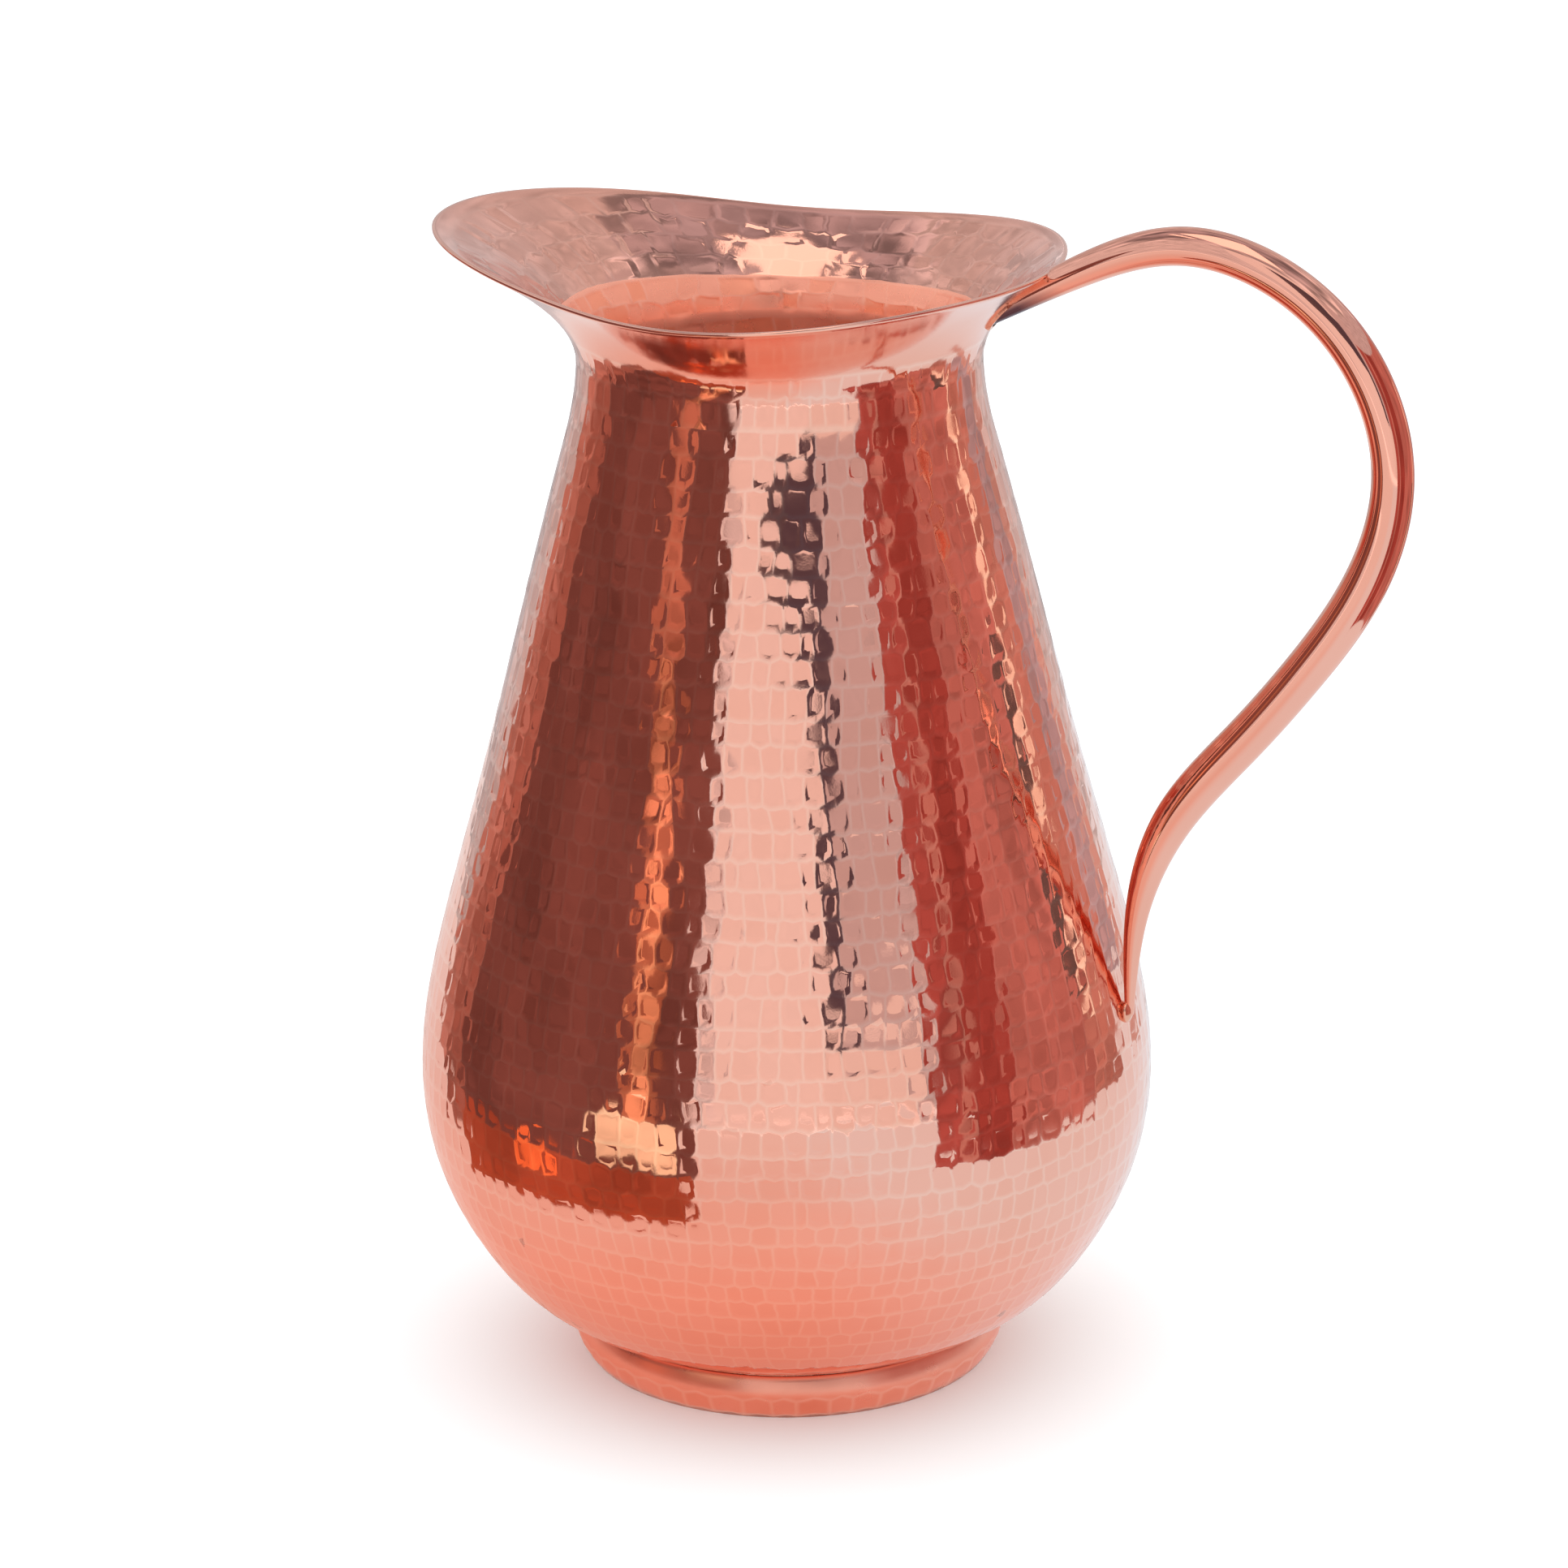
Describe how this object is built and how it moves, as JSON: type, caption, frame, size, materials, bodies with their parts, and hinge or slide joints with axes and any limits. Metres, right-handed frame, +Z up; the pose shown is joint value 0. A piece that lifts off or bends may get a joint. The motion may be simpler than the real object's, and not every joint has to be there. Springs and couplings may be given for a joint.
{
  "type": "water jug",
  "caption": "Hammered copper water jug: pear-shaped body, flared pouring mouth drawn to a spout, looped rod handle and a low ring foot.",
  "frame": {"origin": "on the jug's own axis, at the level of the flat rim of the foot that it stands on", "axes": "+Z up along the jug's axis, +X toward the handle, so the spout points to -X; the jug is the same on both sides of the XZ plane"},
  "size_m": [0.2044, 0.15, 0.2416],
  "materials": {
    "hammered_copper": "bright copper, hand hammered in rows of small facets and polished",
    "foot_copper": "bright copper, smooth shoulder and a lightly hammered band",
    "polished_copper": "bright copper rod, smooth and mirror polished",
    "braze": "filed and polished copper-coloured brazing metal"
  },
  "bodies": {
    "root": {"vessel_body": "hammered_copper", "foot_ring": "foot_copper", "handle": "polished_copper", "upper_handle_braze": "braze", "lower_handle_braze": "braze", "foot_braze": "braze"}
  },
  "joints": []
}
